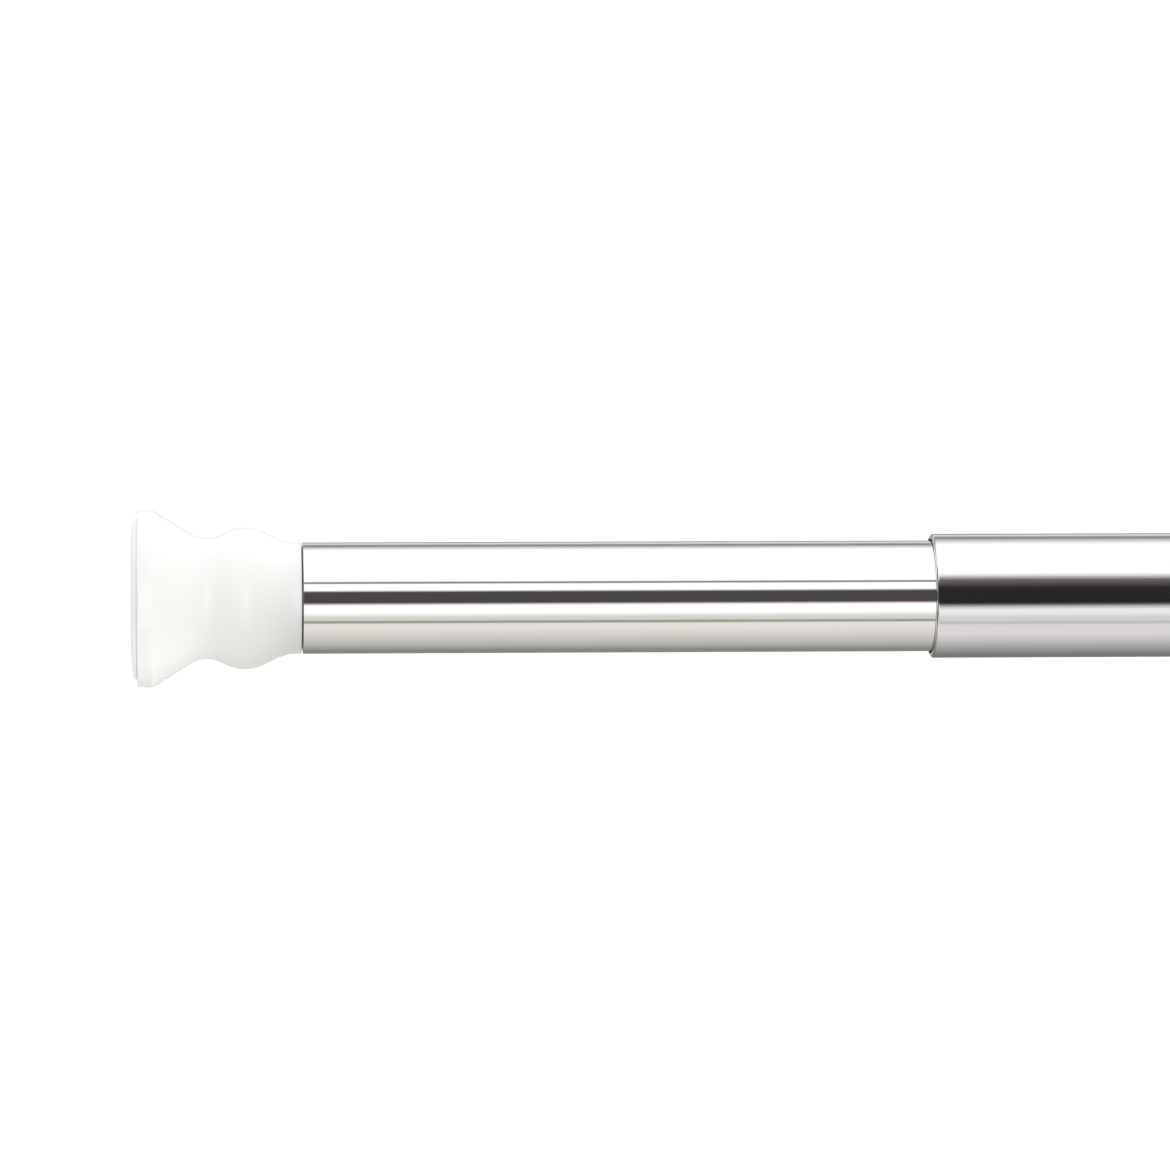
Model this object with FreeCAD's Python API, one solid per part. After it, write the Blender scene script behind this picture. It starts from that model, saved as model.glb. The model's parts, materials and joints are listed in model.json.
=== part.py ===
import FreeCAD, Part
import math
import os

# Spring tension rod: two telescoping polished steel tubes with a vase-shaped white
# end cap and a soft wall pad at each end.  A twist lock on a sprung shaft joins the
# tubes: turning them jams an eccentric split ring in the larger tube, and a
# compression spring inside the smaller tube then pushes the two pads apart.
#
# Millimetres.  The rod lies along X.  The origin is the centre of the left pad's
# flat face, +X runs along the rod to the right pad, +Z is up.

V = FreeCAD.Vector
os.makedirs("parts", exist_ok=True)

# ---------------------------------------------------------------- driving sizes
# tubes
INNER_OD = 25.0
OUTER_OD = 28.0
WALL = 0.7
INNER_LEN = 450.0
OUTER_LEN = 501.0
INNER_SHOWN = 141.7          # bare small tube between the cap and the lip, as pictured
LIP_BEND = 0.8               # outside radius of the rolled-in lip
LIP_BORE_R = 13.0            # the lip's cut edge, round the small tube
ROLL_HALF_WIDTH = 1.8        # rolled groove that grips a plug in the tube
ROLL_DEPTH = 0.6
ROLL_TOOL_R = 1.2

# end caps, measured from the pad's face
CAP_FACE_X = 1.45
CAP_RIM_R = 19.9
CAP_RIM_FRONT_R = 19.8
CAP_RIM_EDGE = 0.5
CAP_RIM_END_X = 4.6
CAP_RIM_ROUND = 1.2
NECK_X, NECK_ROUND = 17.0, 6.5
BULGE_X, BULGE_ROUND = 25.6, 9.5
MOUTH_X, MOUTH_ROUND = 37.4, 11.0
SHOULDER_X = 38.2
MOUTH_EDGE = 0.2
TUBE_GAP = 0.3               # shadow gap between the cap's shoulder and the tube
LEFT_NECK_R, LEFT_BULGE_R, LEFT_MOUTH_R = 13.58, 15.9, 12.45
RIGHT_NECK_R, RIGHT_BULGE_R, RIGHT_MOUTH_R = 14.6, 17.0, 13.95
RECESS_R, RECESS_DEPTH = 18.3, 1.2
PLATE_BACK_X = 8.0           # back of the web behind the pad
POCKET_R0, POCKET_R1 = 11.6, 16.2
POCKET_RIBS, POCKET_RIB_W = 8, 1.6
STEM_HOLE_R = 3.0
SPIGOT_LEN = 16.0
SPIGOT_WALL = 1.6
SPIGOT_SLACK = 0.25          # radial, taken up by the crush ribs
CRUSH_RIBS, CRUSH_RIB_W = 6, 1.2
FIT = 0.02                   # left between pressed faces

# wall pads
PAD_R = 18.1
PAD_FLAT_R = 9.0
PAD_CROWN = 74.0
PAD_EDGE = 0.9
PAD_BACK_X = 2.6
STEM_R, BARB_R = 2.9, 3.6
STEM_END_X = 10.6

# spring and shaft
SPRING_WIRE = 2.0
SPRING_MEAN_D = 17.5
SPRING_PITCH = 6.5
SPRING_LEN = 95.0            # fitted length, at rest
SPRING_TRAVEL = 30.0
SHAFT_AF = 9.0
HEX_SLACK = 0.06             # per face, hex shaft in its holes
HEAD_R, HEAD_T = 10.0, 3.0
SEAT_R, SEAT_BORE_R, SEAT_T = 10.2, 7.6, 0.8     # flat washer at each end of the spring
HEAD_GAP = 0.2
NOSE_R, NOSE_LEN = 7.3, 14.0
BUSH_BODY, BUSH_FLANGE_T, BUSH_FLANGE_R = 14.0, 2.5, 12.8
STOP_BODY, STOP_NOSE, STOP_BORE_R = 12.0, 10.0, 4.0

# twist lock
ECC = 0.45                   # eccentricity of cam and ring
LOCK_TURN = 55.0             # degrees from free to jammed
DISC_R, DISC_T = 12.85, 3.0
CAM_R, CAM_LEN = 8.5, 14.0
RING_OUT_R, RING_BORE_R = 13.22, 8.55
RING_SIDE = 0.25
RING_SLIT = 2.5
RING_FLUTES, FLUTE_W, FLUTE_D = 24, 0.9, 0.45
LUG_R0, LUG_R1, LUG_W, LUG_L = 10.0, 11.8, 2.0, 2.0
SCREW_R, SCREW_LEN, SCREW_HEAD_R, SCREW_HEAD_T = 1.98, 15.0, 3.7, 2.5
TAPPED_R = 2.02
WASHER_R, WASHER_BORE_R, WASHER_T = 4.5, 2.2, 0.8

# ---------------------------------------------------------------- derived places
INNER_R, OUTER_R = INNER_OD / 2, OUTER_OD / 2
INNER_BORE_R, OUTER_BORE_R = INNER_R - WALL, OUTER_R - WALL
INNER_X0 = SHOULDER_X + TUBE_GAP
INNER_X1 = INNER_X0 + INNER_LEN
OUTER_X0 = INNER_X0 + INNER_SHOWN
OUTER_X1 = OUTER_X0 + OUTER_LEN
RIGHT_FACE_X = OUTER_X1 + TUBE_GAP + SHOULDER_X
BUSH_X0 = INNER_X1 - BUSH_BODY
BUSH_X1 = INNER_X1 + BUSH_FLANGE_T
BUSH_ROLL_X = INNER_X1 - BUSH_BODY / 2
HEAD_X1 = BUSH_X0 - HEAD_GAP
HEAD_X0 = HEAD_X1 - HEAD_T
SPRING_X1 = HEAD_X0 - SEAT_T
SPRING_X0 = SPRING_X1 - SPRING_LEN
STOP_X1 = SPRING_X0 - SEAT_T
STOP_X0 = STOP_X1 - STOP_BODY
STOP_ROLL_X = STOP_X1 - STOP_BODY / 2
DISC_X0 = BUSH_X1 + SPRING_TRAVEL + 2.0
DISC_X1 = DISC_X0 + DISC_T
CAM_X1 = DISC_X1 + CAM_LEN
END_DISC_X0 = CAM_X1 + 0.05
END_DISC_X1 = END_DISC_X0 + DISC_T
SHAFT_END_X = END_DISC_X0 + 1.45
WASHER_X1 = END_DISC_X1 + WASHER_T
SCREW_TIP_X = WASHER_X1 - SCREW_LEN


# ---------------------------------------------------------------- shape helpers
class Outline:
    """Closed outline in the half plane (x, radius), turned about the X axis."""

    def __init__(self, x, r):
        self.first = self.at = (x, r)
        self.edges = []

    def line(self, x, r):
        if math.hypot(x - self.at[0], r - self.at[1]) > 1e-7:
            self.edges.append(Part.makeLine(V(self.at[0], 0, self.at[1]), V(x, 0, r)))
        self.at = (x, r)
        return self

    def arc(self, centre, x, r):
        """The shorter arc about centre from here to (x, r)."""
        cx, cr = centre
        a0 = math.atan2(self.at[1] - cr, self.at[0] - cx)
        a1 = math.atan2(r - cr, x - cx)
        turn = (a1 - a0 + math.pi) % (2 * math.pi) - math.pi
        rad = math.hypot(self.at[0] - cx, self.at[1] - cr)
        am = a0 + turn / 2
        mid = V(cx + rad * math.cos(am), 0, cr + rad * math.sin(am))
        self.edges.append(
            Part.Arc(V(self.at[0], 0, self.at[1]), mid, V(x, 0, r)).toShape()
        )
        self.at = (x, r)
        return self

    def solid(self):
        self.line(*self.first)
        return Part.Face(Part.Wire(self.edges)).revolve(V(0, 0, 0), V(1, 0, 0), 360)


def rod(x0, x1, r, z=0.0):
    return Part.makeCylinder(r, x1 - x0, V(x0, 0, z), V(1, 0, 0))


def pipe(x0, x1, r_out, r_in, z=0.0):
    return rod(x0, x1, r_out, z).cut(rod(x0 - 1, x1 + 1, r_in, z))


def hex_bar(x0, x1, across_flats):
    rad = across_flats / math.sqrt(3)
    pts = [
        V(x0, rad * math.cos(math.radians(a)), rad * math.sin(math.radians(a)))
        for a in range(0, 420, 60)
    ]
    return Part.Face(Part.makePolygon(pts)).extrude(V(x1 - x0, 0, 0))


def block(x0, x1, y0, y1, z0, z1):
    return Part.makeBox(x1 - x0, y1 - y0, z1 - z0, V(x0, y0, z0))


def turned(shape, degrees, z=0.0):
    out = shape.copy()
    out.rotate(V(0, 0, z), V(1, 0, 0), degrees)
    return out


def one_solid(shape):
    """The single solid of a boolean result, faces merged."""
    shape = shape.removeSplitter()
    assert len(shape.Solids) == 1, len(shape.Solids)
    return shape.Solids[0]


# ---------------------------------------------------------------- end caps and pads
def cross_tangent(c1, r1, c2, r2, rising):
    """Slope angle of the line between a convex and a concave arc of the outline,
    and its two touch points.  The first circle is met first along +x."""
    dx, dr = c2[0] - c1[0], c2[1] - c1[1]
    if rising:
        # first circle above the line, second below it
        dx, dr = -dx, -dr
    a = math.atan2(abs(dx), dr)
    phi = a - math.acos(min(1.0, (r1 + r2) / math.hypot(dx, dr)))
    n = (-math.sin(phi), math.cos(phi)) if rising else (math.sin(phi), math.cos(phi))
    s1, s2 = (-1, 1) if rising else (1, -1)
    p1 = (c1[0] + s1 * r1 * n[0], c1[1] + s1 * r1 * n[1])
    p2 = (c2[0] + s2 * r2 * n[0], c2[1] + s2 * r2 * n[1])
    return p1, p2


def end_cap(neck_r, bulge_r, mouth_r, tube_bore_r):
    """One moulding: flared rim, waisted neck, round bulge, and a hollow spigot with
    crush ribs that plugs into the tube.  The front is cored out between ribs, behind
    the pad."""
    rim_c = (CAP_RIM_END_X, CAP_RIM_R - CAP_RIM_ROUND)
    neck_c = (NECK_X, neck_r + NECK_ROUND)
    bulge_c = (BULGE_X, bulge_r - BULGE_ROUND)
    mouth_c = (MOUTH_X, mouth_r + MOUTH_ROUND)
    a1, a2 = cross_tangent(rim_c, CAP_RIM_ROUND, neck_c, NECK_ROUND, False)
    b1, b2 = cross_tangent(neck_c, NECK_ROUND, bulge_c, BULGE_ROUND, True)
    c1, c2 = cross_tangent(bulge_c, BULGE_ROUND, mouth_c, MOUTH_ROUND, False)
    rib_r = tube_bore_r - FIT
    spigot_r = tube_bore_r - SPIGOT_SLACK
    bore_r = spigot_r - SPIGOT_WALL
    end_x = SHOULDER_X + TUBE_GAP + SPIGOT_LEN
    floor_x = CAP_FACE_X + RECESS_DEPTH
    o = Outline(CAP_FACE_X, RECESS_R)
    o.line(CAP_FACE_X, CAP_RIM_FRONT_R - CAP_RIM_EDGE)
    o.arc(
        (CAP_FACE_X + CAP_RIM_EDGE, CAP_RIM_FRONT_R - CAP_RIM_EDGE),
        CAP_FACE_X + CAP_RIM_EDGE,
        CAP_RIM_FRONT_R,
    )
    o.line(CAP_RIM_END_X, CAP_RIM_R)
    o.arc(rim_c, *a1)
    o.line(*a2)
    o.arc(neck_c, *b1)
    o.line(*b2)
    o.arc(bulge_c, *c1)
    o.line(*c2)
    o.arc(mouth_c, MOUTH_X, mouth_r)
    o.line(SHOULDER_X - MOUTH_EDGE, mouth_r)
    o.arc(
        (SHOULDER_X - MOUTH_EDGE, mouth_r - MOUTH_EDGE),
        SHOULDER_X,
        mouth_r - MOUTH_EDGE,
    )
    o.line(SHOULDER_X, spigot_r)
    o.line(end_x - 1.0, spigot_r)
    o.line(end_x, spigot_r - 0.7)
    o.line(end_x, bore_r)
    o.line(PLATE_BACK_X, bore_r)
    o.line(PLATE_BACK_X, STEM_HOLE_R)
    o.line(floor_x, STEM_HOLE_R)
    o.line(floor_x, RECESS_R)
    cap = o.solid()
    # crush ribs along the spigot
    for i in range(CRUSH_RIBS):
        rib = rod(SHOULDER_X + 2.0, end_x - 2.0, rib_r).common(
            block(0, 100, -CRUSH_RIB_W / 2, CRUSH_RIB_W / 2, spigot_r - 0.4, 30)
        )
        cap = cap.fuse(turned(rib, 30 + i * 360.0 / CRUSH_RIBS))
    # cored pockets behind the pad, between radial ribs
    pocket = pipe(floor_x - 0.5, PLATE_BACK_X, POCKET_R1, POCKET_R0)
    for i in range(POCKET_RIBS // 2):
        bar = block(0, 20, -POCKET_RIB_W / 2, POCKET_RIB_W / 2, -30, 30)
        pocket = pocket.cut(turned(bar, i * 360.0 / POCKET_RIBS))
    return one_solid(cap.cut(pocket))


def wall_pad():
    """Soft pad: flat in the middle, lightly crowned, with a barbed stem that snaps
    through the web of the cap."""
    r1 = PAD_R - PAD_EDGE * (1 - math.sin(math.atan((PAD_R - 0.8 - PAD_FLAT_R) / PAD_CROWN)))
    lean = math.asin((r1 - PAD_FLAT_R) / PAD_CROWN)
    r1 = PAD_R - PAD_EDGE * (1 - math.sin(lean))
    x1 = PAD_CROWN - math.sqrt(PAD_CROWN**2 - (r1 - PAD_FLAT_R) ** 2)
    lean = math.asin((r1 - PAD_FLAT_R) / PAD_CROWN)
    edge_c = (x1 + PAD_EDGE * math.cos(lean), r1 - PAD_EDGE * math.sin(lean))
    rim_r = edge_c[1] + PAD_EDGE
    o = Outline(0, 0)
    o.line(0, PAD_FLAT_R)
    o.arc((PAD_CROWN, PAD_FLAT_R), x1, r1)
    o.arc(edge_c, edge_c[0], rim_r)
    o.line(PAD_BACK_X, rim_r)
    o.line(PAD_BACK_X, STEM_R)
    o.line(PLATE_BACK_X + 0.1, STEM_R)
    o.line(PLATE_BACK_X + 0.1, BARB_R)
    o.line(PLATE_BACK_X + 0.7, BARB_R)
    o.line(STEM_END_X, 2.1)
    o.line(STEM_END_X, 0)
    return o.solid()


def at_right_end(shape):
    """A left-end piece turned round to face +X at the right end."""
    out = shape.copy()
    out.rotate(V(0, 0, 0), V(0, 0, 1), 180)
    out.translate(V(RIGHT_FACE_X, 0, 0))
    return out


# ---------------------------------------------------------------- tubes
def rolled_groove(o, x, r, shoulder, bottom, forward):
    """Adds a rolled groove of the tube wall to an outline running along +x or -x."""
    s = 1 if forward else -1
    turn = 2 * math.atan(ROLL_DEPTH / ROLL_HALF_WIDTH)
    w = (shoulder + bottom) * math.sin(turn)
    o.line(x - s * w, r)
    tx, tr = bottom * math.sin(turn), r - ROLL_DEPTH + bottom * (1 - math.cos(turn))
    o.arc((x - s * w, r - shoulder), x - s * tx, tr)
    o.arc((x, r - ROLL_DEPTH + bottom), x + s * tx, tr)
    o.arc((x + s * w, r - shoulder), x + s * w, r)
    return o


def small_tube():
    span = ROLL_HALF_WIDTH / math.sin(2 * math.atan(ROLL_DEPTH / ROLL_HALF_WIDTH))
    out_b, out_a = ROLL_TOOL_R, span - ROLL_TOOL_R
    in_b, in_a = out_b + WALL, out_a - WALL
    o = Outline(INNER_X0 + 0.15, INNER_R)
    rolled_groove(o, STOP_ROLL_X, INNER_R, out_a, out_b, True)
    rolled_groove(o, BUSH_ROLL_X, INNER_R, out_a, out_b, True)
    o.line(INNER_X1 - 0.15, INNER_R)
    o.line(INNER_X1, INNER_R - 0.15)
    o.line(INNER_X1, INNER_BORE_R)
    rolled_groove(o, BUSH_ROLL_X, INNER_BORE_R, in_a, in_b, False)
    rolled_groove(o, STOP_ROLL_X, INNER_BORE_R, in_a, in_b, False)
    o.line(INNER_X0, INNER_BORE_R)
    o.line(INNER_X0, INNER_R - 0.15)
    return o.solid()


def large_tube():
    c = (OUTER_X0 + LIP_BEND, OUTER_R - LIP_BEND)
    o = Outline(OUTER_X0 + LIP_BEND, OUTER_R)
    o.line(OUTER_X1 - 0.15, OUTER_R)
    o.line(OUTER_X1, OUTER_R - 0.15)
    o.line(OUTER_X1, OUTER_BORE_R)
    o.line(OUTER_X0 + LIP_BEND, OUTER_BORE_R)
    o.arc(c, OUTER_X0 + WALL, OUTER_R - LIP_BEND)
    o.line(OUTER_X0 + WALL, LIP_BORE_R)
    o.line(OUTER_X0, LIP_BORE_R)
    o.line(OUTER_X0, OUTER_R - LIP_BEND)
    o.arc(c, OUTER_X0 + LIP_BEND, OUTER_R)
    return o.solid()


# ---------------------------------------------------------------- spring and shaft
def gripped_plug(x0, x1, roll_x, lead):
    """Plug body with a groove for the tube's rolled groove."""
    r = INNER_BORE_R - FIT
    g = ROLL_HALF_WIDTH + 0.5
    low = INNER_BORE_R - ROLL_DEPTH - 0.05
    o = Outline(x0, 0)
    o.line(x0, r - lead)
    o.line(x0 + lead, r)
    o.line(roll_x - g, r)
    o.line(roll_x - g + 0.6, low)
    o.line(roll_x + g - 0.6, low)
    o.line(roll_x + g, r)
    o.line(x1, r)
    o.line(x1, 0)
    return o.solid()


def spring_stop():
    body = gripped_plug(STOP_X0, STOP_X1, STOP_ROLL_X, 0.6)
    nose = Outline(STOP_X1 - 1, 0)
    nose.line(STOP_X1 - 1, NOSE_R)
    nose.line(STOP_X1 + STOP_NOSE - 1.5, NOSE_R)
    nose.line(STOP_X1 + STOP_NOSE, NOSE_R - 1.0)
    nose.line(STOP_X1 + STOP_NOSE, 0)
    return one_solid(
        body.fuse(nose.solid()).cut(
            rod(STOP_X0 - 1, STOP_X1 + STOP_NOSE + 1, STOP_BORE_R)
        )
    )


def compression_spring():
    """Open coils with both ends ground square."""
    extra = SPRING_WIRE
    height = SPRING_LEN + 2 * extra
    helix = Part.makeHelix(SPRING_PITCH, height, SPRING_MEAN_D / 2)
    lead = V(0, math.pi * SPRING_MEAN_D, SPRING_PITCH)
    ring = Part.Wire(
        Part.makeCircle(SPRING_WIRE / 2, V(SPRING_MEAN_D / 2, 0, 0), lead)
    )
    coil = Part.Wire(helix.Edges).makePipeShell([ring], True, True)
    coil = Part.Solid(coil) if coil.ShapeType == "Shell" else coil
    coil.rotate(V(0, 0, 0), V(0, 1, 0), 90)
    coil.translate(V(SPRING_X0 - extra, 0, 0))
    coil = coil.common(block(SPRING_X0, SPRING_X1, -15, 15, -15, 15))
    return coil.Solids[0] if len(coil.Solids) == 1 else coil


def spring_shaft():
    """Hex shaft with a round head and a nose that centres the spring, tapped at the
    lock end."""
    nose = Outline(HEAD_X0 - NOSE_LEN, 0)
    nose.line(HEAD_X0 - NOSE_LEN, NOSE_R - 1.0)
    nose.line(HEAD_X0 - NOSE_LEN + 1.5, NOSE_R)
    nose.line(HEAD_X0, NOSE_R)
    nose.line(HEAD_X0, HEAD_R - 0.3)
    nose.line(HEAD_X0 + 0.3, HEAD_R)
    nose.line(HEAD_X1 - 0.3, HEAD_R)
    nose.line(HEAD_X1, HEAD_R - 0.3)
    nose.line(HEAD_X1, 0)
    bar = hex_bar(HEAD_X1 - 1, SHAFT_END_X, SHAFT_AF)
    hole = rod(SCREW_TIP_X - 2.0, SHAFT_END_X + 1, TAPPED_R)
    return one_solid(nose.solid().fuse(bar).cut(hole))


def hex_hole(x0, x1):
    return hex_bar(x0, x1, SHAFT_AF + 2 * HEX_SLACK)


def guide_bush():
    body = gripped_plug(BUSH_X0, INNER_X1, BUSH_ROLL_X, 0.6)
    flange = Outline(INNER_X1 + 0.05, 0)
    flange.line(INNER_X1 + 0.05, BUSH_FLANGE_R - 0.3)
    flange.line(INNER_X1 + 0.35, BUSH_FLANGE_R)
    flange.line(BUSH_X1 - 0.5, BUSH_FLANGE_R)
    flange.line(BUSH_X1, BUSH_FLANGE_R - 0.5)
    flange.line(BUSH_X1, 0)
    join = rod(INNER_X1 - 0.5, INNER_X1 + 0.5, INNER_BORE_R - FIT)
    return one_solid(
        body.fuse([join, flange.solid()]).cut(hex_hole(BUSH_X0 - 1, BUSH_X1 + 1))
    )


# ---------------------------------------------------------------- twist lock
def chamfered_disc(x0, x1, r, c):
    o = Outline(x0, 0)
    o.line(x0, r - c)
    o.line(x0 + c, r)
    o.line(x1 - c, r)
    o.line(x1, r - c)
    o.line(x1, 0)
    return o.solid()


def sector(x0, x1, r0, r1, a0, a1, z):
    """Part of a ring about the line y = 0, z, from angle a0 to a1 about +X."""
    pts = [
        V(x0, r0 * math.cos(a0), r0 * math.sin(a0)),
        V(x0, r1 * math.cos(a0), r1 * math.sin(a0)),
        V(x0, r1 * math.cos((a0 + a1) / 2), r1 * math.sin((a0 + a1) / 2)),
        V(x0, r1 * math.cos(a1), r1 * math.sin(a1)),
        V(x0, r0 * math.cos(a1), r0 * math.sin(a1)),
        V(x0, r0 * math.cos((a0 + a1) / 2), r0 * math.sin((a0 + a1) / 2)),
    ]
    edges = [
        Part.makeLine(pts[0], pts[1]),
        Part.Arc(pts[1], pts[2], pts[3]).toShape(),
        Part.makeLine(pts[3], pts[4]),
        Part.Arc(pts[4], pts[5], pts[0]).toShape(),
    ]
    out = Part.Face(Part.Wire(edges)).extrude(V(x1 - x0, 0, 0))
    out.translate(V(0, 0, z))
    return out


def lock_cam():
    """Guide disc and eccentric in one moulding, keyed on the hex shaft.  A lug on the
    disc runs in a slot of the ring and ends the twist."""
    disc = chamfered_disc(DISC_X0, DISC_X1, DISC_R, 0.4)
    cam = rod(DISC_X1 - 1, CAM_X1, CAM_R, ECC)
    half = math.asin(LUG_W / 2 / ((LUG_R0 + LUG_R1) / 2))
    down = -math.pi / 2
    lug = sector(
        DISC_X1 - 0.5, DISC_X1 + LUG_L, LUG_R0, LUG_R1, down - half, down + half, ECC
    )
    return one_solid(
        disc.fuse([cam, lug]).cut(hex_hole(DISC_X0 - 1, CAM_X1 + 1))
    )


def lock_ring():
    """Split ring, bored off centre, fluted outside to grip the large tube."""
    x0, x1 = DISC_X1 + RING_SIDE, CAM_X1 - RING_SIDE
    ring = chamfered_disc(x0, x1, RING_OUT_R, 0.5).cut(
        rod(x0 - 1, x1 + 1, RING_BORE_R, ECC)
    )
    # twist slot for the cam's lug
    half = math.asin(LUG_W / 2 / ((LUG_R0 + LUG_R1) / 2)) + math.radians(1.5)
    down = -math.pi / 2
    slot = sector(
        x0 - 1,
        x0 + LUG_L + 0.4,
        LUG_R0 - 0.25,
        LUG_R1 + 0.25,
        down - math.radians(LOCK_TURN) - half,
        down + half,
        ECC,
    )
    ring = ring.cut(slot)
    ring = ring.cut(block(x0 - 1, x1 + 1, -RING_SLIT / 2, RING_SLIT / 2, 0, 20))
    for i in range(1, RING_FLUTES):
        flute = block(
            x0 - 1, x1 + 1, -FLUTE_W / 2, FLUTE_W / 2, RING_OUT_R - FLUTE_D, 20
        )
        ring = ring.cut(turned(flute, 360.0 * i / RING_FLUTES))
    return one_solid(ring)


def lock_end_disc():
    disc = chamfered_disc(END_DISC_X0, END_DISC_X1, DISC_R, 0.4)
    pocket = hex_hole(END_DISC_X0 - 1, SHAFT_END_X + 0.1)
    return one_solid(
        disc.cut(pocket).cut(rod(END_DISC_X0 - 1, END_DISC_X1 + 1, WASHER_BORE_R))
    )


def lock_washer():
    return pipe(END_DISC_X1, WASHER_X1, WASHER_R, WASHER_BORE_R)


def lock_screw():
    """Pan head screw with a cross recess; the thread is left plain."""
    x0 = WASHER_X1
    o = Outline(SCREW_TIP_X, 0)
    o.line(SCREW_TIP_X, SCREW_R - 0.4)
    o.line(SCREW_TIP_X + 0.4, SCREW_R)
    o.line(x0, SCREW_R)
    o.line(x0, SCREW_HEAD_R)
    o.line(x0 + 1.0, SCREW_HEAD_R)
    o.arc((x0 + 1.0, SCREW_HEAD_R - 1.5), x0 + SCREW_HEAD_T, SCREW_HEAD_R - 1.5)
    o.line(x0 + SCREW_HEAD_T, 0)
    top = x0 + SCREW_HEAD_T
    cross = block(top - 1.4, top + 1, -0.45, 0.45, -1.9, 1.9).fuse(
        block(top - 1.4, top + 1, -1.9, 1.9, -0.45, 0.45)
    )
    return one_solid(o.solid().cut(cross))


# ---------------------------------------------------------------- build
left_cap = end_cap(LEFT_NECK_R, LEFT_BULGE_R, LEFT_MOUTH_R, INNER_BORE_R)
right_cap = end_cap(RIGHT_NECK_R, RIGHT_BULGE_R, RIGHT_MOUTH_R, OUTER_BORE_R)
pad = wall_pad()

nodes = {
    "left_wall_pad": pad,
    "left_end_cap": left_cap,
    "inner_tube": small_tube(),
    "spring_stop": spring_stop(),
    "fixed_spring_washer": pipe(STOP_X1, SPRING_X0, SEAT_R, SEAT_BORE_R),
    "compression_spring": compression_spring(),
    "moving_spring_washer": pipe(SPRING_X1, HEAD_X0, SEAT_R, SEAT_BORE_R),
    "spring_shaft": spring_shaft(),
    "shaft_guide_bush": guide_bush(),
    "lock_cam": lock_cam(),
    "lock_ring": lock_ring(),
    "lock_end_disc": lock_end_disc(),
    "lock_washer": lock_washer(),
    "lock_screw": lock_screw(),
    "outer_tube": large_tube(),
    "right_end_cap": at_right_end(right_cap),
    "right_wall_pad": at_right_end(pad),
}

for name, shape in nodes.items():
    solids = shape.Solids
    ok = shape.isValid() and len(solids) == 1 and solids[0].Volume > 0
    box = shape.BoundBox
    print(
        "%-20s valid=%s solids=%d volume=%.1f mm3  x %.2f..%.2f  r<=%.2f"
        % (name, ok, len(solids), shape.Volume, box.XMin, box.XMax, box.ZMax)
    )
    shape.exportStep("parts/%s.step" % name)
print("overall length at rest %.1f mm" % RIGHT_FACE_X)
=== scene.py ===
import json
import math

import bmesh
import bpy
from mathutils import Matrix, Vector


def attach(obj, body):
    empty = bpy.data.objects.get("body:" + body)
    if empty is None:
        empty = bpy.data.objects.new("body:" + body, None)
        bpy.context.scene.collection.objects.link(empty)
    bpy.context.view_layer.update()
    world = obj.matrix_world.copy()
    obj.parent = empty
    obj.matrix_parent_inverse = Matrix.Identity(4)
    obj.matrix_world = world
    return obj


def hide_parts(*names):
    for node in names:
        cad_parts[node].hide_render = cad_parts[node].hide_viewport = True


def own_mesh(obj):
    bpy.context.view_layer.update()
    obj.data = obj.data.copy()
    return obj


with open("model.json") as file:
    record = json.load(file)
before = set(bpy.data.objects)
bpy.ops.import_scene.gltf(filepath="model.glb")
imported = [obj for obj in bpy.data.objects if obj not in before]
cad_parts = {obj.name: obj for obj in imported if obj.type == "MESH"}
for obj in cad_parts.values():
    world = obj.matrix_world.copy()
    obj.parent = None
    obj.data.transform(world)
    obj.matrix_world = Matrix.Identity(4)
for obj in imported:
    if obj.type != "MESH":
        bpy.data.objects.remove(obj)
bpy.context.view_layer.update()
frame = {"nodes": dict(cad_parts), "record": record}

MM = 0.001

# ------------------------------------------------------------------ sizes, mm
INNER_R, OUTER_R, WALL = 12.5, 14.0, 0.7
INNER_X0, INNER_X1 = 38.5, 488.5
OUTER_X0, OUTER_X1 = 180.2, 681.2
LIP_BEND, LIP_BORE_R = 0.8, 13.0
STOP_ROLL_X, BUSH_ROLL_X = 368.7, 481.5
RIGHT_FACE_X = 719.7
SPRING_X0, SPRING_X1, WIRE_R, COIL_R = 375.5, 470.5, 1.0, 8.75


# ------------------------------------------------------------------ outlines
def arc(centre, start, end, step=0.12):
    """Points of the shorter arc from start to end about centre, ends included."""
    a0 = math.atan2(start[1] - centre[1], start[0] - centre[0])
    a1 = math.atan2(end[1] - centre[1], end[0] - centre[0])
    turn = (a1 - a0 + math.pi) % (2 * math.pi) - math.pi
    rad = math.hypot(start[0] - centre[0], start[1] - centre[1])
    n = max(4, int(abs(turn) * rad / step), int(abs(turn) / math.radians(9)))
    return [
        (
            centre[0] + rad * math.cos(a0 + turn * i / n),
            centre[1] + rad * math.sin(a0 + turn * i / n),
        )
        for i in range(n + 1)
    ]


def cross_tangent(c1, r1, c2, r2, rising):
    """Touch points of the straight run between a convex and a concave arc."""
    dx, dr = c2[0] - c1[0], c2[1] - c1[1]
    if rising:
        dx, dr = -dx, -dr
    phi = math.atan2(abs(dx), dr) - math.acos(min(1.0, (r1 + r2) / math.hypot(dx, dr)))
    n = (-math.sin(phi), math.cos(phi)) if rising else (math.sin(phi), math.cos(phi))
    s1, s2 = (-1, 1) if rising else (1, -1)
    return (
        (c1[0] + s1 * r1 * n[0], c1[1] + s1 * r1 * n[1]),
        (c2[0] + s2 * r2 * n[0], c2[1] + s2 * r2 * n[1]),
    )


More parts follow.
